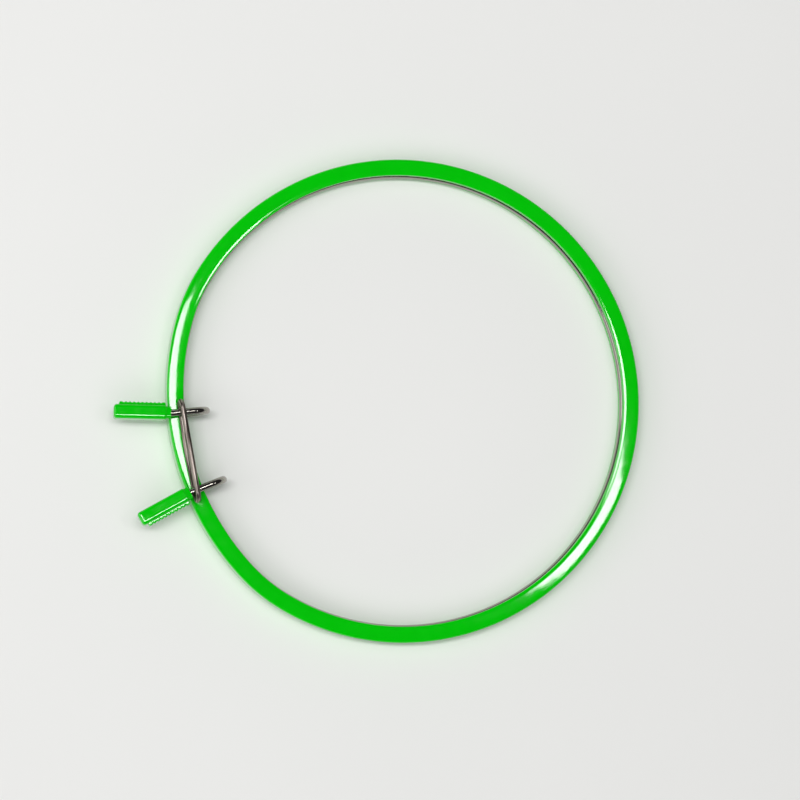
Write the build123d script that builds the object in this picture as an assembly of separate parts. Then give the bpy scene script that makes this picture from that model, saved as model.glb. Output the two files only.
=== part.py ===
"""Embroidery hoop: a grooved plastic ring with a sprung wire ring that snaps into it.

The origin is the centre of the ring on the plane that it lies on, +Z is up, and
the two handles point along -X, one on each side of the XZ plane.
"""

from build123d import *
from math import atan2, cos, degrees, radians, sin, sqrt, tan
import os

# Outer ring
RING_OUTER_RADIUS = 90.0
RING_BAND_WIDTH = 6.0
RING_HEIGHT = 9.5
RING_CROWN_SLOPE = 3.0
RING_OUTER_EDGE_RADIUS = 1.8
RING_INNER_EDGE_RADIUS = 0.8
RING_BASE_EDGE_RADIUS = 0.4

# The ring is a little flattened at the handles, where the wire doesn't push it outward
FLAT_DEPTH = 2.6
FLAT_HALF_ANGLE = 45.0
SHOULDER_CENTRE_OFFSET = 24.0

# Groove around the inside of the ring
GROOVE_DEPTH = 2.3
GROOVE_PLAY = 0.25
GROOVE_FLARE = 0.5

# Sprung wire
WIRE_DIAMETER = 2.8
SEAT_GAP = 0.1
BEND_RADIUS = 2.2
LEG_LENGTH = 2.2
CRANK_RADIUS = 10.0
CUT_GAP = 0.02

# Where the wire bends, as angles from its far side, opposite the handles
HINGE_ANGLES = (20.0, 70.0, 120.0)

# Handles: their places are taken on the plane of the link, square to -X
ROD_SPLAY = 8.0
GRIP_SPLAY = 15.0
CRANK_DISTANCE = 3.2
LIFT_GAP = 0.3

# Link, a closed loop of wire around both rods
LINK_WIRE_DIAMETER = 2.0
LINK_LENGTH = 38.6
LINK_PLAY = 0.2
LINK_END_PLAY = 1.5
LINK_INSET = 5.2
LINK_SETBACK = 0.3
LINK_LEAN = 5.0
LINK_SKEW = 3.8

# Grips
GRIP_SETBACK = 3.7
GRIP_LENGTH = 20.8
GRIP_WIDTH = 5.2
GRIP_HEIGHT = 6.6
GRIP_EDGE_RADIUS = 1.1
ROD_DEPTH = 15.0

# Ridged finger pad on the outer side of each grip
PAD_LENGTH = 17.0
PAD_HEIGHT = 4.4
PAD_RISE = 1.1
PAD_SET = 10.4
PAD_EDGE_RADIUS = 0.6
RIDGE_PITCH = 1.5
RIDGE_CUT_RADIUS = 0.55
RIDGE_CUT_DEPTH = 0.3

# Places that follow from these sizes
LIP_RADIUS = RING_OUTER_RADIUS - RING_BAND_WIDTH
SHOULDER_RADIUS = RING_OUTER_RADIUS - SHOULDER_CENTRE_OFFSET
WIRE_RADIUS = WIRE_DIAMETER / 2
WIRE_LEVEL = RING_HEIGHT / 2
WIRE_RING_RADIUS = LIP_RADIUS + GROOVE_DEPTH - SEAT_GAP - WIRE_RADIUS
LINK_WIRE_RADIUS = LINK_WIRE_DIAMETER / 2
LINK_HALF_SLOT = WIRE_RADIUS + LINK_PLAY
LINK_HALF_HEIGHT = LINK_HALF_SLOT + LINK_WIRE_DIAMETER
LINK_PLANE_DISTANCE = RING_OUTER_RADIUS - FLAT_DEPTH - LINK_INSET
ROD_HALF_SPREAD = LINK_LENGTH / 2 - LINK_WIRE_DIAMETER - WIRE_RADIUS - LINK_END_PLAY
ROD_LEVEL = RING_HEIGHT + LIFT_GAP + LINK_HALF_HEIGHT
HAIRPIN_RADIUS = (ROD_LEVEL - WIRE_LEVEL) / 2


def along_rod(distance, level):
    """A point on the left rod's line, by its distance outward from the link's plane."""
    return Vector(
        -LINK_PLANE_DISTANCE - distance * cos(radians(ROD_SPLAY)),
        ROD_HALF_SPREAD + distance * sin(radians(ROD_SPLAY)),
        level,
    )


def outward(splay):
    """The unit direction of the left rod or grip, seen from above."""
    return Vector(-cos(radians(splay)), sin(radians(splay)), 0)


def tube(path, start, heading):
    """The wire along a path that starts at a point with a heading."""
    return sweep(Plane(origin=start, z_dir=heading) * Circle(WIRE_RADIUS), path=path)


def flat_centres():
    """Centres of the left shoulder's arc and of the flat arc, and the flat arc's radius."""
    shoulder = Vector(-SHOULDER_CENTRE_OFFSET, 0).rotate(Axis.Z, -FLAT_HALF_ANGLE)
    near = RING_OUTER_RADIUS - FLAT_DEPTH
    reach = near + shoulder.X
    radius = (reach**2 + shoulder.Y**2 - SHOULDER_RADIUS**2) / (reach - SHOULDER_RADIUS) / 2
    return shoulder, Vector(radius - near, 0), radius


def rim_line(inset, level, first, last):
    """A line inside the ring's left edge, from an angle of its circle to one of its flat arc."""
    shoulder, flat, flat_radius = flat_centres()
    start = 180 - FLAT_HALF_ANGLE
    meet = degrees(atan2(shoulder.Y, shoulder.X - flat.X))
    rise = Vector(0, 0, level)
    return [
        CenterArc(rise, RING_OUTER_RADIUS - inset, first, start - first),
        CenterArc(shoulder + rise, SHOULDER_RADIUS - inset, start, meet - start),
        CenterArc(flat + rise, flat_radius - inset, meet, last - meet),
    ]


def outer_ring():
    """The band with its crowned top, its rounded edges and the inward groove."""
    inner = LIP_RADIUS
    outer = RING_OUTER_RADIUS
    mouth = WIRE_RADIUS + GROOVE_PLAY + GROOVE_FLARE
    floor = WIRE_RADIUS + GROOVE_PLAY
    depth = inner + GROOVE_DEPTH
    base = RING_BASE_EDGE_RADIUS
    edge_in = RING_INNER_EDGE_RADIUS
    edge_out = RING_OUTER_EDGE_RADIUS
    rise = cos(radians(RING_CROWN_SLOPE))
    lean = sin(radians(RING_CROWN_SLOPE))
    crown_radius = (RING_BAND_WIDTH - (edge_in + edge_out) * (1 - lean)) / 2 / lean
    crown_end = RING_HEIGHT - crown_radius * (1 - rise)
    wall_out = crown_end - edge_out * rise
    wall_in = crown_end - edge_in * rise
    turn = 90 - RING_CROWN_SLOPE
    with BuildPart() as half:
        with BuildSketch(Plane.XZ):
            with BuildLine():
                Line((inner + base, 0), (outer - base, 0))
                JernArc((outer - base, 0), (1, 0), base, 90)
                Line((outer, base), (outer, wall_out))
                edge = JernArc((outer, wall_out), (0, 1), edge_out, turn)
                crown = JernArc(edge @ 1, edge % 1, crown_radius, 2 * RING_CROWN_SLOPE)
                JernArc(crown @ 1, crown % 1, edge_in, turn)
                Polyline(
                    (inner, wall_in),
                    (inner, WIRE_LEVEL + mouth),
                    (depth, WIRE_LEVEL + floor),
                    (depth, WIRE_LEVEL - floor),
                    (inner, WIRE_LEVEL - mouth),
                    (inner, base),
                )
                JernArc((inner, base), (0, -1), base, 90)
            make_face()
        sweep(path=Wire(rim_line(0, 0, 0, 180)))
    return half.part + mirrored(half.part)


def ring_stretch(start, end):
    """A stretch of the wire ring between two angles, with half a cut's gap at each end."""
    trim = degrees(CUT_GAP / 2 / WIRE_RING_RADIUS)
    centre = Vector(0, 0, WIRE_LEVEL)
    path = CenterArc(centre, WIRE_RING_RADIUS, start + trim, end - start - 2 * trim)
    return tube(path, path @ 0, path % 0)


def handle_bend():
    """Angle on the flat arc, start, middle and end of the bend that turns the wire inward."""
    normal = Vector(sin(radians(ROD_SPLAY)), cos(radians(ROD_SPLAY)), 0)
    direction = outward(ROD_SPLAY)
    flat, flat_radius = flat_centres()[1:]
    hub = Vector(flat.X, 0, WIRE_LEVEL)
    wire_radius = flat_radius - RING_OUTER_RADIUS + WIRE_RING_RADIUS
    foot = along_rod(0, WIRE_LEVEL) + normal * BEND_RADIUS - hub
    half = foot.dot(direction)
    reach = wire_radius - BEND_RADIUS
    spoke = foot + direction * (sqrt(half * half - foot.dot(foot) + reach * reach) - half)
    centre = hub + spoke
    middle = (spoke.normalized() - normal).normalized()
    return (
        degrees(atan2(spoke.Y, spoke.X)),
        hub + spoke.normalized() * wire_radius,
        centre + middle * BEND_RADIUS,
        centre - normal * BEND_RADIUS,
    )


def handle_wire():
    """The left end of the wire: ring, inward bend, hairpin up and rod with its crank."""
    trim = degrees(CUT_GAP / 2 / WIRE_RING_RADIUS)
    inset = RING_OUTER_RADIUS - WIRE_RING_RADIUS
    inward = -outward(ROD_SPLAY)
    last, bend_start, bend_middle, leg_start = handle_bend()
    leg_end = leg_start + inward * LEG_LENGTH
    rise = Vector(0, 0, HAIRPIN_RADIUS)
    tip = leg_end + rise + inward * HAIRPIN_RADIUS
    rod_start = leg_end + rise + rise
    crank = radians(GRIP_SPLAY - ROD_SPLAY)
    crank_leg = CRANK_RADIUS * tan(crank / 2)
    crank_start = along_rod(CRANK_DISTANCE - crank_leg, ROD_LEVEL)
    crank_arc = TangentArc(
        crank_start,
        along_rod(CRANK_DISTANCE, ROD_LEVEL) + outward(GRIP_SPLAY) * crank_leg,
        tangent=outward(ROD_SPLAY),
    )
    path = Wire(
        [
            *rim_line(inset, WIRE_LEVEL, HINGE_ANGLES[-1] + trim, last),
            ThreePointArc(bend_start, bend_middle, leg_start),
            Line(leg_start, leg_end),
            ThreePointArc(leg_end, tip, rod_start),
            Line(rod_start, crank_start),
            crank_arc,
            Line(crank_arc @ 1, rod_end()),
        ]
    )
    return tube(path, path @ 0, path % 0)


def grip_point(distance):
    """A point on the left grip's axis, by its distance outward from the rod's crank."""
    return along_rod(CRANK_DISTANCE, ROD_LEVEL) + outward(GRIP_SPLAY) * distance


def grip_plane():
    """The left grip's inner end, with the plane's x across the grip and its z outward."""
    start = GRIP_SETBACK - CRANK_DISTANCE
    across = Vector(sin(radians(GRIP_SPLAY)), cos(radians(GRIP_SPLAY)), 0)
    return Plane(origin=grip_point(start), x_dir=across, z_dir=outward(GRIP_SPLAY))


def rod_end():
    """The end of the left rod, at the bottom of the grip's bore."""
    return grip_point(GRIP_SETBACK - CRANK_DISTANCE + ROD_DEPTH)


def finger_pad():
    """The raised pad on the grip's side, rounded off all round, with ridges across it."""
    face = GRIP_WIDTH / 2 + PAD_RISE
    block = Pos(face / 2, PAD_SET) * Box(face, PAD_LENGTH, PAD_HEIGHT)
    pad = fillet(block.edges().group_by(Axis.X)[-1], PAD_EDGE_RADIUS)
    count = int((PAD_LENGTH - 2 * PAD_EDGE_RADIUS) / RIDGE_PITCH)
    for i in range(count):
        place = Pos(
            face + RIDGE_CUT_RADIUS - RIDGE_CUT_DEPTH,
            PAD_SET + (i - (count - 1) / 2) * RIDGE_PITCH,
        )
        pad -= place * Cylinder(RIDGE_CUT_RADIUS, PAD_HEIGHT * 2)
    return pad


def grip():
    """The left grip: a rounded bar with a blind bore for the rod and the finger pad."""
    bar = extrude(Rectangle(GRIP_WIDTH, GRIP_HEIGHT), GRIP_LENGTH)
    bar = fillet(bar.edges(), GRIP_EDGE_RADIUS)
    bore = extrude(Circle(WIRE_RADIUS), ROD_DEPTH)
    return grip_plane() * (bar + Rot(X=90) * finger_pad() - bore)


def link():
    """The closed loop around both rods, its lower side leaning outward."""
    half_height = LINK_HALF_SLOT + LINK_WIRE_RADIUS
    half_straight = LINK_LENGTH / 2 - LINK_HALF_HEIGHT
    with BuildPart() as loop:
        with BuildLine(Plane.YZ) as route:
            Line((-half_straight, half_height), (half_straight, half_height))
            JernArc((half_straight, half_height), (1, 0), half_height, -180)
            Line((half_straight, -half_height), (-half_straight, -half_height))
            JernArc((-half_straight, -half_height), (-1, 0), half_height, -180)
        start = route.wires()[0]
        with BuildSketch(Plane(origin=start @ 0, z_dir=start % 0)):
            Circle(LINK_WIRE_RADIUS)
        sweep()
    place = Pos(-LINK_PLANE_DISTANCE - LINK_SETBACK, 0, ROD_LEVEL)
    return place * Rot(Z=-LINK_SKEW) * Rot(Y=LINK_LEAN) * loop.part


def mirrored(shape):
    """The same shape on the other side of the XZ plane."""
    return shape.mirror(Plane.XZ)


def build():
    """All solids by the name of their node."""
    nodes = {
        "outer_ring": outer_ring(),
        "spring_back": ring_stretch(-HINGE_ANGLES[0], HINGE_ANGLES[0]),
        "link": link(),
    }
    left = {
        "spring_rear": ring_stretch(HINGE_ANGLES[0], HINGE_ANGLES[1]),
        "spring_side": ring_stretch(HINGE_ANGLES[1], HINGE_ANGLES[2]),
        "spring_handle": handle_wire(),
        "grip": grip(),
    }
    for name, shape in left.items():
        nodes[name + "_left"] = shape
        nodes[name + "_right"] = mirrored(shape)
    return nodes


os.makedirs("parts", exist_ok=True)
for name, shape in build().items():
    export_step(shape, f"parts/{name}.step")
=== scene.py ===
"""Embroidery hoop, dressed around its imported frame.

The origin is the centre of the ring on the plane that it lies on, +Z is up, and the
two handles point along -X, the left one on the +Y side. Lengths are in metres.
"""

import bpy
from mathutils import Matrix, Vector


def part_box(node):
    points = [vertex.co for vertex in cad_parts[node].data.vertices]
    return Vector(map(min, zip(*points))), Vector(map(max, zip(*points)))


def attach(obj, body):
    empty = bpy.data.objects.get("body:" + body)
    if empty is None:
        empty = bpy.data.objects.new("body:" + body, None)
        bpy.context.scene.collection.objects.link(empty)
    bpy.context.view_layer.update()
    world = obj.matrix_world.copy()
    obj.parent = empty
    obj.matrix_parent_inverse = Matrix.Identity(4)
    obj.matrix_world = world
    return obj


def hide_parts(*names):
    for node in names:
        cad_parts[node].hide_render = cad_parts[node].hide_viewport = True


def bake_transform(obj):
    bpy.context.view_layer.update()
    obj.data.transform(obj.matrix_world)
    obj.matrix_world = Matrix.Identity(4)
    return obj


bl_info = {
    "name": "Embroidery Hoop",
    "version": (1, 0, 0),
    "blender": (4, 5, 0),
    "location": "3D Viewport > Sidebar > Hoop",
    "description": "Builds the ring, the sprung wire, the link and the grips of an embroidery hoop",
    "category": "Object",
}

from functools import cache
from math import atan2, ceil, cos, pi, radians, sin, sqrt, tan

import bmesh
import bpy
from bpy.props import FloatProperty, FloatVectorProperty, IntProperty, PointerProperty, StringProperty
from mathutils import Matrix, Vector

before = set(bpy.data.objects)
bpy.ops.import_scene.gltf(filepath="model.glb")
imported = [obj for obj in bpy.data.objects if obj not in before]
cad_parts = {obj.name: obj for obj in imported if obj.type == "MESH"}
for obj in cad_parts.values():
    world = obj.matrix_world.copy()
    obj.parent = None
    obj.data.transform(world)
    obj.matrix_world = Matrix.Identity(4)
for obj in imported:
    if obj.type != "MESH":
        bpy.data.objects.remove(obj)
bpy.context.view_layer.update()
MM = 0.001
# The photograph's side in pixels, and the width of the camera's sensor in millimetres
IMAGE_SIDE = 800
SENSOR_WIDTH = 36

RING_LOW, RING_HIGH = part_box("outer_ring")
BACK_LOW, BACK_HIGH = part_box("spring_back")
LINK_LOW, LINK_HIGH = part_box("link")
GRIP_LOW, GRIP_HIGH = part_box("grip_left")
WIRE_DIAMETER = BACK_HIGH.z - BACK_LOW.z
# How far out along -X the middle of the link rests, and how much of that lies beyond the plane
# where the rods' places are taken
LINK_REACH = -(LINK_LOW.x + LINK_HIGH.x) / 2
LINK_SETBACK = 0.3 * MM

UP = Vector((0, 0, 1))
SIDES = {"left": 1, "right": -1}
# The wire's stretches in the groove on each side, and the angles from +X, in degrees, where
# they begin and end
STRETCHES = ("rear", "side", "handle")
SEAMS = (0, 45, 95, 134)
# Attribute of a wire's mesh: place around it on a unit circle, and metres along it
ALONG = "along"

# Points nearer than this become one, and an edge bent more than this stays sharp
WELD = 0.0005 * MM
SHARP_BEND = radians(35)
# Steps around a grip's corner, and the share of half a flat from it to the point that holds it
CORNER_STEPS = 6
HOLD_SHARE = 1 / 6
# Steps in which a grip widens from its narrower inner end
WIDEN_STEPS = 6
# Spacing of the finger pad's sections, and a scoop's radius for each unit of the ridges' pitch
PAD_STEP = 0.1 * MM
SCOOP_SHARE = 0.37

# Sockets of a node that mixes two colours
FACTOR, COLOUR_A, COLOUR_B, MIXED = 0, 6, 7, 2


def length(name, description, default):
    """A length in metres that a user can change."""
    return FloatProperty(
        name=name, description=description, default=default, min=0, precision=5, unit="LENGTH"
    )


def angle(name, description, degrees):
    """An angle, given in degrees and kept in radians, that a user can change."""
    return FloatProperty(
        name=name, description=description, default=radians(degrees), subtype="ANGLE"
    )


def count(name, description, default):
    """A number of steps that a surface is cut into."""
    return IntProperty(name=name, description=description, default=default, min=3)


def colour(name, description, default):
    """A colour as an sRGB hex value."""
    return StringProperty(name=name, description=description, default=default, maxlen=7)


class HoopRingSettings(bpy.types.PropertyGroup):
    """Sizes of the moulded ring."""

    radius: length("Outer radius", "Radius of the ring's outer edge", RING_HIGH.x)
    height: length("Height", "Height of the ring at its crown", RING_HIGH.z)
    band: length("Band width", "Width of the ring's band", 6.0 * MM)
    crown_slope: angle("Crown slope", "Slope of the crowned top where it meets its edges", 1.1)
    outer_edge: length("Outer edge radius", "Rounding of the top's outer edge", 1.0 * MM)
    inner_edge: length("Inner edge radius", "Rounding of the top's inner edge", 0.3 * MM)
    bevel: length("Inner bevel", "Width of the shallow bevel beside the inner edge", 0.75 * MM)
    bevel_slope: angle("Bevel slope", "Slope of the inner bevel at its middle", 8.2)
    bevel_turn: angle("Bevel turn", "How much the bevel's slope changes over its width", 1.0)
    blend: length("Bevel blend", "Radius between the crown and the bevel", 2 * MM)
    base_edge: length("Base edge radius", "Rounding of the edges that it lies on", 0.2 * MM)
    groove_depth: length("Groove depth", "How deep the wire's groove is", 2.3 * MM)
    groove_play: length("Groove play", "Room above and below the wire in the groove", 0.25 * MM)
    groove_flare: length("Groove flare", "How much wider the groove is at its mouth", 0.5 * MM)
    flat_depth: length("Flat depth", "How far the handle side lies in", RING_HIGH.x + RING_LOW.x)
    flat_half: angle("Flat half angle", "Where the ring leaves its circle, from -X", 45)
    shoulder: length("Shoulder offset", "From the ring's centre to a shoulder arc's centre", 24 * MM)
    steps: count("Steps", "Steps around the ring", 720)


class HoopWireSettings(bpy.types.PropertyGroup):
    """Sizes of the sprung wire."""

    diameter: length("Diameter", "Thickness of the wire", WIRE_DIAMETER)
    ring_radius: length(
        "Ring radius", "Radius of the wire's centre line", BACK_HIGH.x - WIRE_DIAMETER / 2
    )
    level: length(
        "Level", "Height of the wire's centre line in the groove", (BACK_LOW.z + BACK_HIGH.z) / 2
    )
    rod_level: length(
        "Rod level", "Height of the rods' centre line", (GRIP_LOW.z + GRIP_HIGH.z) / 2
    )
    plane: length(
        "Link plane", "From the middle to the plane where the rods are placed", LINK_REACH - LINK_SETBACK
    )
    spread: length("Half spread", "From the middle to a rod, in the link's plane", 14.4 * MM)
    splay: angle("Rod splay", "Angle of a rod to -X", 8)
    grip_splay: angle("Grip splay", "Angle of a grip to -X", 15)
    bend: length("Bend radius", "Radius of the bend that turns the wire inward", 2.2 * MM)
    leg: length("Leg", "Straight length between the inward bend and the hairpin", 2.2 * MM)
    crank: length("Crank distance", "From the link's plane to the crank in the rod", 3.2 * MM)
    crank_radius: length("Crank radius", "Radius of the crank in the rod", 10 * MM)
    step: length("Step", "Longest step along the wire", 0.6 * MM)
    sides: count("Sides", "Steps around the wire", 32)


class HoopLinkSettings(bpy.types.PropertyGroup):
    """Sizes of the link around both rods."""

    diameter: length("Diameter", "Thickness of the link's wire", 2 * MM)
    length: length("Length", "Length of the closed loop", 38.6 * MM)
    height: length("Height", "Height of the closed loop", 7.2 * MM)
    lean: angle("Lean", "How far its lower side leans outward", 5)
    skew: angle("Skew", "How far it's turned, seen from above", 3.8)
    bow: length("Bow", "How far its lower side is sprung outward in the middle", 0.4 * MM)


class HoopGripSettings(bpy.types.PropertyGroup):
    """Sizes of a moulded grip."""

    setback: length("Setback", "From the link's plane to the grip", 3.7 * MM)
    length: length("Length", "Length of the grip", 20.8 * MM)
    width: length("Width", "Width of the bar", 5.2 * MM)
    height: length("Height", "Height of the bar", GRIP_HIGH.z - GRIP_LOW.z)
    edge: length("Edge radius", "Rounding of the bar's long edges", 1.1 * MM)
    end_edge: length("End radius", "Rounding of the bar's outer end", 1.1 * MM)
    turn_left: angle("Left turn", "How far the left grip is turned on its rod towards its pad", 3)
    turn_right: angle("Right turn", "How far the right grip is turned on its rod towards its pad", -5)
    collar: length("Collar length", "Length of the narrower inner end", 1.5 * MM)
    collar_step: length("Collar step", "How much narrower the inner end is", 0.35 * MM)
    rod_depth: length("Rod depth", "How deep the rod sits in the grip", 15 * MM)
    pad_length: length("Pad length", "Length of the finger pad", 17 * MM)
    pad_height: length("Pad height", "Height of the finger pad", 4.4 * MM)
    pad_rise: length("Pad rise", "How far the pad stands out from the bar", 1.1 * MM)
    pad_set: length("Pad place", "From the grip's inner end to the middle of the pad", 10.4 * MM)
    pad_edge: length("Pad edge", "Rounding of the pad's outer edges", 0.6 * MM)
    ridge: length("Ridge pitch", "Distance between two ridges of the pad", 1.5 * MM)
    ridge_depth: length("Ridge depth", "Depth between the ridges", 0.3 * MM)


class HoopFinishSettings(bpy.types.PropertyGroup):
    """Colours of the finishes."""

    plastic: colour("Plastic", "Moulded green plastic", "#00CC06")
    plastic_deep: colour("Plastic, deep", "The same plastic where its pigment is denser", "#00BC04")
    nickel: colour("Nickel plate", "Plating of the sprung wire", "#B9B5AE")
    nickel_dull: colour("Nickel plate, dull", "The same plating where it's rubbed", "#8F8A83")
    drawn: colour("Drawn steel", "Bare wire of the link", "#B3A79F")
    drawn_dark: colour("Drawn steel, dark", "Oil and oxide in its drawing lines", "#332C28")
    floor: colour("Floor", "Pale floor", "#ECECEA")


class HoopStageSettings(bpy.types.PropertyGroup):
    """Places of the camera and the floor."""

    camera_distance: length("Camera distance", "From the hoop to the camera", 1.1)
    camera_tilt: FloatVectorProperty(
        name="Camera tilt",
        description="The camera's x and y for each unit of its height",
        default=(-0.1853, -0.0333),
        size=2,
    )
    camera_roll: angle("Camera roll", "Turn of the picture about the line of sight", 14.1)
    camera_aim: FloatVectorProperty(
        name="Camera aim",
        description="The point at the middle of the picture",
        default=(0.4 * MM, 0.48 * MM),
        size=2,
        unit="LENGTH",
    )
    focal_pixels: FloatProperty(
        name="Focal length", description="Focal length in pixels of the picture", default=2940.0
    )
    floor_side: length("Floor side", "Side of the square floor", 6.0)
    floor_drop: length("Floor drop", "How far the floor lies below the ring", 0.05 * MM)


GROUPS = {
    "hoop_ring": HoopRingSettings,
    "hoop_wire": HoopWireSettings,
    "hoop_link": HoopLinkSettings,
    "hoop_grip": HoopGripSettings,
    "hoop_finish": HoopFinishSettings,
    "hoop_stage": HoopStageSettings,
}


def linear(hex_value):
    """An sRGB hex value as linear red, green, blue and alpha."""
    parts = [int(hex_value[i : i + 2], 16) / 255 for i in (1, 3, 5)]
    return [p / 12.92 if p <= 0.04045 else ((p + 0.055) / 1.055) ** 2.4 for p in parts] + [1]


def node(tree, kind, settings=None, inputs=None):
    """Adds a node, sets its properties, and gives its sockets values or links."""
    made = tree.nodes.new(kind)
    for name, value in (settings or {}).items():
        setattr(made, name, value)
    for name, value in (inputs or {}).items():
        if isinstance(value, bpy.types.NodeSocket):
            tree.links.new(value, made.inputs[name])
        else:
            made.inputs[name].default_value = value
    return made


def material(name):
    """An empty node material and its tree."""
    made = bpy.data.materials.new(name)
    made.use_nodes = True
    made.node_tree.nodes.clear()
    return made, made.node_tree


def finish_material(tree, shader):
    """Sends a shader to the material's output."""
    node(tree, "ShaderNodeOutputMaterial", inputs={"Surface": shader.outputs["BSDF"]})


@cache
def green_plastic():
    """High-gloss moulded ABS: a deep even green, mirror-like, with a faint flow in its skin."""
    finish = bpy.context.scene.hoop_finish
    made, tree = material("Moulded_ABS_gloss_green")
    place = node(tree, "ShaderNodeTexCoord").outputs["Object"]
    # A noise scale counts patterns in a metre: these pigment clouds, which dense and thin
    # stretches of the melt leave, are some 12 mm wide
    clouds = node(tree, "ShaderNodeTexNoise", inputs={"Vector": place, "Scale": 80.0, "Detail": 3.0})
    tint = node(
        tree,
        "ShaderNodeMix",
        {"data_type": "RGBA"},
        {
            FACTOR: clouds.outputs["Fac"],
            COLOUR_A: linear(finish.plastic_deep),
            COLOUR_B: linear(finish.plastic),
        },
    )
    # Handling leaves patches about 3 mm wide where the gloss is a little softer
    smudges = node(tree, "ShaderNodeTexNoise", inputs={"Vector": place, "Scale": 330.0, "Detail": 4.0})
    gloss = node(
        tree,
        "ShaderNodeMapRange",
        inputs={
            "Value": smudges.outputs["Fac"],
            "From Min": 0.35,
            "From Max": 0.75,
            "To Min": 0.03,
            "To Max": 0.08,
        },
    )
    # The skin of a moulding waves by a few hundredths of a millimetre over about 8 mm
    waves = node(tree, "ShaderNodeTexNoise", inputs={"Vector": place, "Scale": 125.0, "Detail": 1.0})
    skin = node(
        tree,
        "ShaderNodeBump",
        inputs={"Height": waves.outputs["Fac"], "Distance": 0.03 * MM, "Strength": 0.6},
    )
    shader = node(
        tree,
        "ShaderNodeBsdfPrincipled",
        inputs={
            "Base Color": tint.outputs[MIXED],
            "Roughness": gloss.outputs["Result"],
            "IOR": 1.53,
            "Normal": skin.outputs["Normal"],
        },
    )
    finish_material(tree, shader)
    return made


@cache
def nickel_wire():
    """Nickel-plated spring steel: bright and mirror-like, with faint lines from the drawing die."""
    finish = bpy.context.scene.hoop_finish
    made, tree = material("Nickel_plated_spring_steel")
    along = node(tree, "ShaderNodeAttribute", {"attribute_name": ALONG}).outputs["Vector"]
    # Die lines: about 40 around the wire, each some 20 mm long
    stretch = node(tree, "ShaderNodeMapping", inputs={"Vector": along, "Scale": (6.0, 6.0, 50.0)})
    drawn = stretch.outputs["Vector"]
    lines = node(tree, "ShaderNodeTexNoise", inputs={"Vector": drawn, "Scale": 1.0, "Detail": 3.0})
    tint = node(
        tree,
        "ShaderNodeMix",
        {"data_type": "RGBA"},
        {
            FACTOR: lines.outputs["Fac"],
            COLOUR_A: linear(finish.nickel_dull),
            COLOUR_B: linear(finish.nickel),
        },
    )
    gloss = node(
        tree,
        "ShaderNodeMapRange",
        inputs={
            "Value": lines.outputs["Fac"],
            "From Min": 0.3,
            "From Max": 0.8,
            "To Min": 0.16,
            "To Max": 0.08,
        },
    )
    shader = node(
        tree,
        "ShaderNodeBsdfPrincipled",
        inputs={
            "Base Color": tint.outputs[MIXED],
            "Metallic": 1.0,
            "Roughness": gloss.outputs["Result"],
        },
    )
    finish_material(tree, shader)
    return made


@cache
def drawn_wire():
    """Bare drawn steel: a soft dark grey with lengthwise light and dark drawing lines."""
    finish = bpy.context.scene.hoop_finish
    made, tree = material("Drawn_steel_wire")
    along = node(tree, "ShaderNodeAttribute", {"attribute_name": ALONG}).outputs["Vector"]
    # Drawing lines: about 14 around the wire, each some 14 mm long, drawn coarse enough to show
    stretch = node(tree, "ShaderNodeMapping", inputs={"Vector": along, "Scale": (2.2, 2.2, 70.0)})
    drawn = stretch.outputs["Vector"]
    lines = node(tree, "ShaderNodeTexNoise", inputs={"Vector": drawn, "Scale": 1.0, "Detail": 5.0})
    spread = node(
        tree,
        "ShaderNodeMapRange",
        inputs={"Value": lines.outputs["Fac"], "From Min": 0.4, "From Max": 0.6},
    )
    tint = node(
        tree,
        "ShaderNodeMix",
        {"data_type": "RGBA"},
        {
            FACTOR: spread.outputs["Result"],
            COLOUR_A: linear(finish.drawn_dark),
            COLOUR_B: linear(finish.drawn),
        },
    )
    ridges = node(
        tree,
        "ShaderNodeBump",
        inputs={"Height": lines.outputs["Fac"], "Distance": 0.02 * MM, "Strength": 0.7},
    )
    shader = node(
        tree,
        "ShaderNodeBsdfPrincipled",
        inputs={
            "Base Color": tint.outputs[MIXED],
            "Metallic": 1.0,
            "Roughness": 0.4,
            "Normal": ridges.outputs["Normal"],
        },
    )
    finish_material(tree, shader)
    return made


@cache
def pale_floor():
    """Matt laminate board: a pale neutral floor with a barely uneven tone."""
    finish = bpy.context.scene.hoop_finish
    made, tree = material("Matt_laminate_pale")
    place = node(tree, "ShaderNodeTexCoord").outputs["Object"]
    # Clouds in the paper of the laminate, some 140 mm wide
    clouds = node(tree, "ShaderNodeTexNoise", inputs={"Vector": place, "Scale": 7.0, "Detail": 2.0})
    tone = node(
        tree,
        "ShaderNodeMapRange",
        inputs={"Value": clouds.outputs["Fac"], "To Min": 0.985, "To Max": 1.015},
    )
    tint = node(
        tree,
        "ShaderNodeMix",
        {"data_type": "RGBA", "blend_type": "MULTIPLY"},
        {FACTOR: 1.0, COLOUR_A: linear(finish.floor), COLOUR_B: tone.outputs["Result"]},
    )
    shader = node(
        tree,
        "ShaderNodeBsdfPrincipled",
        inputs={"Base Color": tint.outputs[MIXED], "Roughness": 0.9, "Specular IOR Level": 0.1},
    )
    finish_material(tree, shader)
    return made


def arc(centre, spoke, axis, turn, step):
    """Points of an arc from centre + spoke, turned about axis, without its first point."""
    steps = max(2, ceil(abs(turn) * spoke.length / step))
    return [centre + Matrix.Rotation(turn * i / steps, 3, axis) @ spoke for i in range(1, steps + 1)]


def straight(start, end, step):
    """Points of a straight stretch, without its first point."""
    steps = max(1, ceil((end - start).length / step))
    return [start.lerp(end, i / steps) for i in range(1, steps + 1)]


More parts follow.
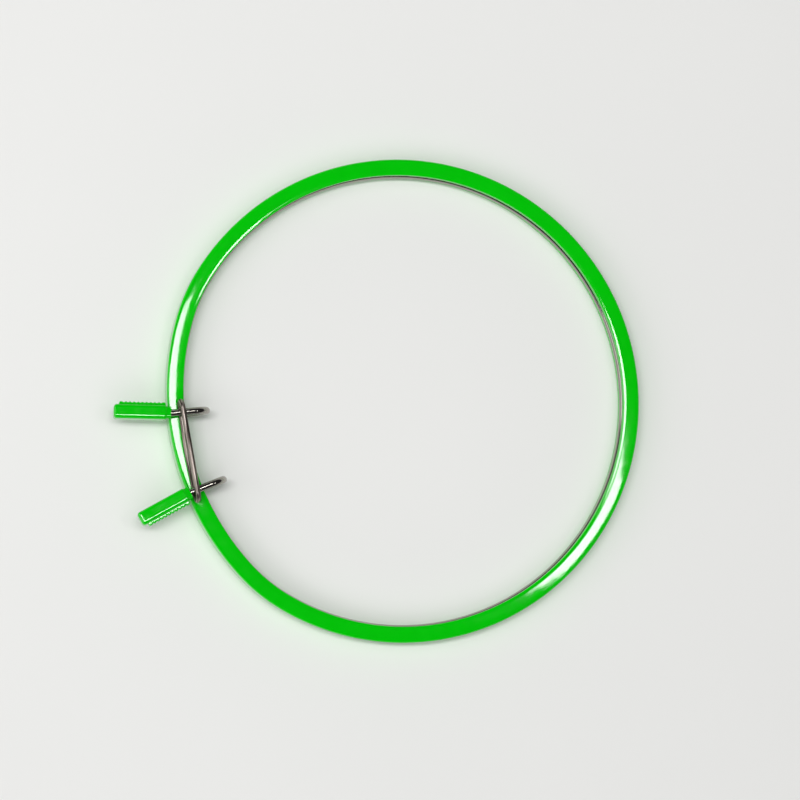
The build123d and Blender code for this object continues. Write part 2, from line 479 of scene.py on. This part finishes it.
def rim_centres():
    """Centres of the left shoulder's arc and of the flat arc, and the flat arc's radius."""
    ring = bpy.context.scene.hoop_ring
    shoulder = Vector((-cos(ring.flat_half), sin(ring.flat_half))) * ring.shoulder
    # The flat arc crosses -X at this distance and runs smoothly into the shoulder's tighter arc
    near = ring.radius - ring.flat_depth
    reach = near + shoulder.x
    tight = ring.radius - ring.shoulder
    radius = (reach**2 + shoulder.y**2 - tight**2) / (reach - tight) / 2
    return shoulder, Vector((radius - near, 0)), radius


def rim_point(turn, inset, level):
    """The point of a line inside the ring's edge where its outward normal has this angle."""
    ring = bpy.context.scene.hoop_ring
    shoulder, flat, flat_radius = rim_centres()
    side = abs(turn)
    centre, radius = Vector((0, 0)), ring.radius
    if side > atan2(shoulder.y, shoulder.x - flat.x):
        centre, radius = flat, flat_radius
    elif side > pi - ring.flat_half:
        centre, radius = shoulder, ring.radius - ring.shoulder
    x = centre.x + (radius - inset) * cos(side)
    y = centre.y + (radius - inset) * sin(side)
    return Vector((x, y if turn >= 0 else -y, level))


def rounding(x, z, radius, start, end, steps):
    """Points of an arc in a profile, with its angles in degrees."""
    return [
        (
            x + radius * cos(radians(start + (end - start) * i / steps)),
            z + radius * sin(radians(start + (end - start) * i / steps)),
        )
        for i in range(steps + 1)
    ]


def ring_top():
    """The band's top as arcs that run into each other: outer edge, crown, bevel, inner edge."""
    ring = bpy.context.scene.hoop_ring
    crown_end = ring.crown_slope
    bevel_start = ring.bevel_slope - ring.bevel_turn / 2
    bevel_end = ring.bevel_slope + ring.bevel_turn / 2
    # An arc is as wide as its radius times the difference between the sines of its end slopes
    bevel = ring.bevel / (sin(bevel_end) - sin(bevel_start))
    sides = ring.outer_edge * (1 - sin(crown_end)) + ring.inner_edge * (1 - sin(bevel_end))
    blend = ring.blend * (sin(bevel_start) - sin(crown_end))
    crown = (ring.band - sides - ring.bevel - blend) / 2 / sin(crown_end)
    start = -pi / 2
    x, z = 0, ring.height - crown * (1 - cos(crown_end)) - ring.outer_edge * cos(crown_end)
    points = [(x, z)]
    for radius, end, steps in (
        (ring.outer_edge, -crown_end, 10),
        (crown, crown_end, 14),
        (ring.blend, bevel_start, 4),
        (bevel, bevel_end, 4),
        (ring.inner_edge, pi / 2, 8),
    ):
        x, z = x - radius * sin(start), z - radius * cos(start)
        for i in range(1, steps + 1):
            slope = start + (end - start) * i / steps
            points.append((x + radius * sin(slope), z + radius * cos(slope)))
        start = end
        x, z = points[-1]
    return points


def ring_profile():
    """The band's section, as pairs of inset from its outer edge and height."""
    ring = bpy.context.scene.hoop_ring
    wire = bpy.context.scene.hoop_wire
    floor = wire.diameter / 2 + ring.groove_play
    mouth = floor + ring.groove_flare
    base = ring.base_edge
    return [
        *rounding(base, base, base, 270, 180, 4),
        *ring_top(),
        (ring.band, wire.level + mouth),
        (ring.band - ring.groove_depth, wire.level + floor),
        (ring.band - ring.groove_depth, wire.level - floor),
        (ring.band, wire.level - mouth),
        *rounding(ring.band - base, base, base, 0, -90, 4),
    ]


def piece(name, points, faces, surface):
    """A shown object from points and faces, its normals outward and its hard edges kept."""
    mesh = bpy.data.meshes.new(name)
    mesh.from_pydata([tuple(p) for p in points], [], faces)
    shape = bmesh.new()
    shape.from_mesh(mesh)
    bmesh.ops.remove_doubles(shape, verts=shape.verts, dist=WELD)
    bmesh.ops.recalc_face_normals(shape, faces=shape.faces)
    shape.to_mesh(mesh)
    shape.free()
    mesh.shade_smooth()
    mesh.set_sharp_from_angle(angle=SHARP_BEND)
    mesh.materials.append(surface)
    made = bpy.data.objects.new(name, mesh)
    bpy.context.scene.collection.objects.link(made)
    return made


def loft_faces(rows, columns, closed):
    """Faces through closed sections, one row each, with flat ends where the rows aren't a loop."""
    faces = []
    for i in range(rows if closed else rows - 1):
        near, far = i * columns, (i + 1) % rows * columns
        for j in range(columns):
            after = (j + 1) % columns
            faces.append((near + j, near + after, far + after, far + j))
    if not closed:
        faces.append(tuple(range(columns)))
        faces.append(tuple(range((rows - 1) * columns, rows * columns)))
    return faces


def tube(name, route, diameter, surface, closed=False):
    """A wire along a route of points, with its place along it kept for the finish."""
    sides = bpy.context.scene.hoop_wire.sides
    rows = len(route)
    headings = []
    for i in range(rows):
        before = route[i - 1] if i or closed else route[0]
        after = route[(i + 1) % rows] if i < rows - 1 or closed else route[-1]
        headings.append((after - before).normalized())
    normal = headings[0].cross(UP).cross(headings[0]).normalized()
    points, places, travelled = [], [], 0
    for i, (centre, heading) in enumerate(zip(route, headings)):
        normal = (normal - heading * normal.dot(heading)).normalized()
        across = heading.cross(normal)
        travelled += (centre - route[i - 1]).length if i else 0
        for j in range(sides):
            turn = 2 * pi * j / sides
            points.append(centre + (normal * cos(turn) + across * sin(turn)) * diameter / 2)
            places += [cos(turn), sin(turn), travelled]
    made = piece(name, points, loft_faces(rows, sides, closed), surface)
    kept = made.data.attributes.new(ALONG, "FLOAT_VECTOR", "POINT")
    kept.data.foreach_set("vector", places)
    return made


def along_rod(distance, level):
    """A point on the left rod's line, by its distance outward from the link's plane."""
    wire = bpy.context.scene.hoop_wire
    return Vector((-wire.plane, wire.spread, level)) + outward(wire.splay) * distance


def outward(splay):
    """The unit direction of the left rod or grip, seen from above."""
    return Vector((-cos(splay), sin(splay), 0))


def handle_bend():
    """Angle on the flat arc, centre and end of the bend that turns the left wire inward."""
    ring = bpy.context.scene.hoop_ring
    wire = bpy.context.scene.hoop_wire
    normal = Vector((sin(wire.splay), cos(wire.splay), 0))
    flat, flat_radius = rim_centres()[1:]
    hub = Vector((flat.x, 0, wire.level))
    foot = along_rod(0, wire.level) + normal * wire.bend - hub
    half = foot.dot(outward(wire.splay))
    # The bend touches the wire's flat arc from inside, so its centre is this far from the hub
    reach = flat_radius - ring.radius + wire.ring_radius - wire.bend
    spoke = foot + outward(wire.splay) * (sqrt(half * half - foot.dot(foot) + reach * reach) - half)
    return atan2(spoke.y, spoke.x), hub + spoke, hub + spoke - normal * wire.bend


def rim_route(start, end):
    """The wire's stretch in the groove between two angles, for the left side."""
    ring = bpy.context.scene.hoop_ring
    wire = bpy.context.scene.hoop_wire
    steps = ceil((end - start) * wire.ring_radius / wire.step)
    inset = ring.radius - wire.ring_radius
    return [rim_point(start + (end - start) * i / steps, inset, wire.level) for i in range(steps + 1)]


def handle_route(start):
    """The left end of the wire: out of the groove, up through the hairpin and into the grip."""
    wire = bpy.context.scene.hoop_wire
    grip = bpy.context.scene.hoop_grip
    last, centre, leg_start = handle_bend()
    inward = -outward(wire.splay)
    route = rim_route(start, last)
    spoke = route[-1] - centre
    turn = spoke.angle(leg_start - centre)
    route += arc(centre, spoke, UP, turn, wire.step / 2)
    leg_end = leg_start + inward * wire.leg
    route += straight(leg_start, leg_end, wire.step)
    radius = (wire.rod_level - wire.level) / 2
    hub = leg_end + UP * radius
    route += arc(hub, -UP * radius, UP.cross(inward), -pi, wire.step)
    crank = wire.grip_splay - wire.splay
    crank_leg = wire.crank_radius * tan(crank / 2)
    crank_start = along_rod(wire.crank - crank_leg, wire.rod_level)
    route += straight(route[-1], crank_start, wire.step)
    crank_hub = crank_start + UP.cross(inward) * wire.crank_radius
    route += arc(crank_hub, crank_start - crank_hub, UP, -crank, wire.step)
    rod_end = grip_point(grip.setback - wire.crank + grip.rod_depth)
    route += straight(route[-1], rod_end, wire.step)
    return route


def grip_point(distance):
    """A point on the left grip's axis, by its distance outward from the rod's crank."""
    wire = bpy.context.scene.hoop_wire
    return along_rod(wire.crank, wire.rod_level) + outward(wire.grip_splay) * distance


def mirror(points, side):
    """The same points on the given side of the XZ plane."""
    return [Vector((p.x, p.y * side, p.z)) for p in points]


def bar_section(width, height, edge):
    """A rounded rectangle around the origin, with points that keep its flats flat."""
    edge = min(edge, width / 2, height / 2)
    points = []
    for quarter, (x, z) in enumerate(((1, 1), (-1, 1), (-1, -1), (1, -1))):
        corner = Vector((x * (width / 2 - edge), z * (height / 2 - edge)))
        run = [(quarter + i / CORNER_STEPS) * pi / 2 for i in range(CORNER_STEPS + 1)]
        arc_points = [corner + Vector((cos(turn), sin(turn))) * edge for turn in run]
        for flat, turn, point in ((-1, run[0], arc_points[0]), (1, run[-1], arc_points[-1])):
            half_flat = abs(corner.y if (quarter % 2 == 0) == (flat < 0) else corner.x)
            held = point + Vector((-sin(turn), cos(turn))) * flat * half_flat * HOLD_SHARE
            arc_points = [held, *arc_points] if flat < 0 else [*arc_points, held]
        points += [tuple(point) for point in arc_points]
    return points


def quarter_turn(steps):
    """Sine and cosine at even steps over a quarter turn."""
    turns = [pi / 2 * i / steps for i in range(steps + 1)]
    return [(sin(turn), cos(turn)) for turn in turns]


def grip_bar():
    """Points and faces of the bar: bore, narrower inner end, bar and rounded outer end."""
    grip = bpy.context.scene.hoop_grip
    bore = bpy.context.scene.hoop_wire.diameter
    corner = grip.collar_step / 2
    taper = 2 * grip.collar_step
    # Each section is its distance from the inner end, its width, height and corner radius
    sections = [(grip.rod_depth, bore, bore, bore / 2), (corner, bore, bore, bore / 2)]
    for sine, cosine in quarter_turn(3):
        mouth = bore + 2 * corner * (1 - cosine)
        sections.append((corner * (1 - sine), mouth, mouth, mouth / 2))
    for sine, cosine in quarter_turn(4):
        cut = taper + 2 * corner * (1 - sine)
        sections.append((corner * (1 - cosine), grip.width - cut, grip.height - cut, grip.edge))
    for i in range(WIDEN_STEPS + 1):
        share = i / WIDEN_STEPS
        cut = taper * (1 - share * share * (3 - 2 * share))
        place = grip.collar + share * taper
        sections.append((place, grip.width - cut, grip.height - cut, grip.edge))
    # Two sections close to the step and to the outer end keep the bar's faces flat between them
    for place in (grip.collar + taper + corner, grip.length - grip.end_edge - corner):
        sections.append((place, grip.width, grip.height, grip.edge))
    for sine, cosine in quarter_turn(8):
        cut = 2 * grip.end_edge * (1 - cosine)
        place = grip.length - grip.end_edge * (1 - sine)
        sections.append((place, grip.width - cut, grip.height - cut, max(grip.edge, cut / 2)))
    points = []
    for place, width, height, edge in sections:
        points += [(x, place, z) for x, z in bar_section(width, height, edge)]
    return points, loft_faces(len(sections), len(points) // len(sections), False)


def grip_pad():
    """Points and faces of the finger pad: a flat strip with scooped grooves across it."""
    grip = bpy.context.scene.hoop_grip
    half, top = grip.pad_length / 2, grip.pad_height / 2
    edge = grip.pad_edge
    root = grip.width / 2 - grip.edge
    scoop = grip.ridge * SCOOP_SHARE
    scoops = int((grip.pad_length - 2 * edge) / grip.ridge)
    steps = int(grip.pad_length / PAD_STEP)
    points = []
    for i in range(steps + 1):
        place = -half + grip.pad_length * i / steps
        turned = max(0, abs(place) - (half - edge))
        rise = grip.pad_rise - edge + sqrt(max(0, edge**2 - turned**2))
        nearest = round(place / grip.ridge + (scoops - 1) / 2)
        nearest = min(max(nearest, 0), scoops - 1) - (scoops - 1) / 2
        offset = place - nearest * grip.ridge
        rise -= max(0, sqrt(max(0, scoop**2 - offset**2)) - (scoop - grip.ridge_depth))
        shoulder = grip.width / 2 + rise - edge
        section = [(root, -top), (shoulder, -top)]
        section += rounding(shoulder, edge - top, edge, -90, 0, 6)[1:]
        section += rounding(shoulder, top - edge, edge, 0, 90, 6)
        section += [(root, top)]
        points += [(x, grip.pad_set + place, z) for x, z in section]
    return points, loft_faces(steps + 1, len(points) // (steps + 1), False)


class HoopOperator:
    """What the operators share: each leaves a finished piece or raises an error."""

    bl_options = {"REGISTER", "UNDO"}


class HOOP_OT_ring(HoopOperator, bpy.types.Operator):
    """Moulds the grooved ring"""

    bl_idname = "hoop.ring"
    bl_label = "Ring"

    def execute(self, context):
        steps = context.scene.hoop_ring.steps
        profile = ring_profile()
        points = [
            rim_point(2 * pi * i / steps - pi, inset, level)
            for i in range(steps)
            for inset, level in profile
        ]
        ring = piece("ring", points, loft_faces(steps, len(profile), True), green_plastic())
        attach(ring, "ring")
        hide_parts("outer_ring")
        return {"FINISHED"}


class HOOP_OT_wire(HoopOperator, bpy.types.Operator):
    """Bends the sprung wire, as four stretches on each side that meet end to end"""

    bl_idname = "hoop.wire"
    bl_label = "Sprung wire"

    def execute(self, context):
        wire = context.scene.hoop_wire
        seams = [radians(seam) for seam in SEAMS]
        for name, side in SIDES.items():
            bodies = ["ring", *(f"{part}_{name}" for part in STRETCHES)]
            nodes = ["spring_back", *(f"spring_{part}_{name}" for part in STRETCHES)]
            for i, part in enumerate(STRETCHES):
                route = mirror(rim_route(seams[i], seams[i + 1]), side)
                stretch = tube(f"wire_{part}_{name}", route, wire.diameter, nickel_wire())
                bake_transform(stretch)
                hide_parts(*nodes[i : i + 2])
            route = mirror(handle_route(seams[-1]), side)
            handle = tube(f"wire_end_{name}", route, wire.diameter, nickel_wire())
            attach(handle, bodies[-1])
            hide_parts(nodes[-1])
        return {"FINISHED"}


class HOOP_OT_link(HoopOperator, bpy.types.Operator):
    """Bends the link, a closed loop around both rods"""

    bl_idname = "hoop.link"
    bl_label = "Link"

    def execute(self, context):
        link = context.scene.hoop_link
        wire = context.scene.hoop_wire
        half_run = link.length / 2 - link.height / 2
        side = Vector((0, half_run, 0))
        rise = UP * (link.height - link.diameter) / 2
        across = Vector((1, 0, 0))
        step = wire.step / 2
        route = straight(rise - side, rise + side, step)
        route += arc(side, rise, across, -pi, step)
        lower = straight(side - rise, -side - rise, step)
        route += [p - across * (link.bow * cos(p.y / half_run * pi / 2) ** 2) for p in lower]
        route += arc(-side, -rise, across, -pi, step)
        turn = Matrix.Rotation(-link.skew, 3, "Z") @ Matrix.Rotation(link.lean, 3, "Y")
        centre = Vector((-LINK_REACH, 0, wire.rod_level))
        route = [centre + turn @ p for p in route]
        loop = tube("link", route, link.diameter, drawn_wire(), closed=True)
        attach(loop, "link")
        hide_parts("link")
        return {"FINISHED"}


class HOOP_OT_grips(HoopOperator, bpy.types.Operator):
    """Moulds both grips with their bores and ridged finger pads"""

    bl_idname = "hoop.grips"
    bl_label = "Grips"

    def execute(self, context):
        wire = context.scene.hoop_wire
        grip = context.scene.hoop_grip
        points, faces = grip_bar()
        pad_points, pad_faces = grip_pad()
        faces = faces + [tuple(i + len(points) for i in face) for face in pad_faces]
        start = grip_point(grip.setback - wire.crank)
        along = outward(wire.grip_splay)
        across = Vector((sin(wire.grip_splay), cos(wire.grip_splay), 0))
        for name, side in SIDES.items():
            turn = Matrix.Rotation(getattr(grip, f"turn_{name}"), 3, "Y")
            turned = [turn @ Vector(point) for point in points + pad_points]
            placed = [start + across * p.x + along * p.y + UP * p.z for p in turned]
            made = piece(f"grip_moulding_{name}", mirror(placed, side), faces, green_plastic())
            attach(made, f"handle_{name}")
            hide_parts(f"grip_{name}")
        return {"FINISHED"}


def lamp(name, kind, energy, place, turn):
    """A lamp in the scene; its turn is an Euler angle, and at no turn it faces straight down."""
    light = bpy.data.lights.new(name, kind)
    light.energy = energy
    made = bpy.data.objects.new(name, light)
    made.location = place
    made.rotation_euler = turn
    bpy.context.scene.collection.objects.link(made)
    return made


def area_lamp(name, energy, size, place, turn):
    """A rectangular lamp, like a window or a soft box."""
    light = lamp(name, "AREA", energy, place, turn).data
    light.shape = "RECTANGLE"
    light.size, light.size_y = size


def shining_from(direction):
    """The turn of a lamp that stands in this direction and faces the origin."""
    return Vector(direction).to_track_quat("Z", "Y").to_euler()


def add_lamps():
    """Two windows that the ring's gloss mirrors, a broad side light, and even daylight."""
    area_lamp(
        "near_window",
        energy=10.1,
        size=(0.867, 0.185),
        place=(-0.3315, 0.194, 1.5),
        turn=(0, 0, radians(-12.8)),
    )
    area_lamp(
        "far_window",
        energy=0.88,
        size=(0.112, 0.115),
        place=(0.402, -0.089, 1.5),
        turn=(0, 0, radians(-48)),
    )
    left = (-1.5, 0.2, 0.95)
    area_lamp("left_window", energy=4.5, size=(1.0, 0.8), place=left, turn=shining_from(left))
    sky = shining_from((-0.3, -0.2, 1.2))
    daylight = lamp("daylight", "SUN", energy=1.35, place=(0, 0, 0), turn=sky)
    daylight.data.angle = radians(80)
    # The gloss mirrors the windows, but not this wide disc of light
    daylight.visible_glossy = False


def add_camera():
    """The camera, at the photograph's distance, tilt and turn."""
    stage = bpy.context.scene.hoop_stage
    back = Vector((*stage.camera_tilt, 1)).normalized()
    roll = Vector((sin(stage.camera_roll), cos(stage.camera_roll), 0))
    across = (-back).cross(roll).normalized()
    up = across.cross(-back)
    data = bpy.data.cameras.new("camera")
    data.sensor_width = SENSOR_WIDTH
    data.lens = stage.focal_pixels * SENSOR_WIDTH / IMAGE_SIDE
    data.clip_start = 0.01
    data.clip_end = 20
    made = bpy.data.objects.new("camera", data)
    place = Vector((*stage.camera_aim, 0)) + back * stage.camera_distance
    turn = Matrix((across, up, back)).transposed().to_4x4()
    made.matrix_world = Matrix.Translation(place) @ turn
    bpy.context.scene.collection.objects.link(made)
    bpy.context.scene.camera = made


def add_world():
    """Studio surroundings: pale low down, and dark from 21 degrees above the horizon."""
    world = bpy.data.worlds.new("studio")
    world.use_nodes = True
    tree = world.node_tree
    tree.nodes.clear()
    direction = node(tree, "ShaderNodeTexCoord").outputs["Generated"]
    height = node(tree, "ShaderNodeSeparateXYZ", inputs={"Vector": direction}).outputs["Z"]
    level = node(
        tree,
        "ShaderNodeMapRange",
        {"interpolation_type": "SMOOTHSTEP"},
        {"Value": height, "From Min": 0.1, "From Max": 0.36, "To Min": 0.85, "To Max": 0.03},
    )
    glow = node(tree, "ShaderNodeBackground", inputs={"Color": level.outputs["Result"]})
    node(tree, "ShaderNodeOutputWorld", inputs={"Surface": glow.outputs["Background"]})
    bpy.context.scene.world = world


class HOOP_OT_stage(HoopOperator, bpy.types.Operator):
    """Sets up the floor, the lamps, the surroundings and the camera"""

    bl_idname = "hoop.stage"
    bl_label = "Stage"

    def execute(self, context):
        stage = context.scene.hoop_stage
        half = stage.floor_side / 2
        outline = ((-half, -half), (half, -half), (half, half), (-half, half))
        corners = [(x, y, -stage.floor_drop) for x, y in outline]
        piece("floor", corners, [(0, 1, 2, 3)], pale_floor())
        add_world()
        add_camera()
        add_lamps()
        context.scene.view_settings.view_transform = "Standard"
        return {"FINISHED"}


class HOOP_PT_panel(bpy.types.Panel):
    """The hoop's pieces and stage, each as a button"""

    bl_label = "Embroidery Hoop"
    bl_space_type = "VIEW_3D"
    bl_region_type = "UI"
    bl_category = "Hoop"

    def draw(self, context):
        for operator in OPERATORS:
            self.layout.operator(operator.bl_idname)


OPERATORS = (HOOP_OT_ring, HOOP_OT_wire, HOOP_OT_link, HOOP_OT_grips, HOOP_OT_stage)
CLASSES = (*GROUPS.values(), *OPERATORS, HOOP_PT_panel)


def register():
    """Registers the classes and gives the scene its settings."""
    for kind in CLASSES:
        bpy.utils.register_class(kind)
    for name, group in GROUPS.items():
        setattr(bpy.types.Scene, name, PointerProperty(type=group))


def unregister():
    """Takes the settings and the classes away again."""
    for name in GROUPS:
        delattr(bpy.types.Scene, name)
    for kind in reversed(CLASSES):
        bpy.utils.unregister_class(kind)


def main():
    """Builds the dressed hoop."""
    register()
    for operator in OPERATORS:
        group, name = operator.bl_idname.split(".")
        getattr(getattr(bpy.ops, group), name)()


if __name__ == "__main__":
    main()
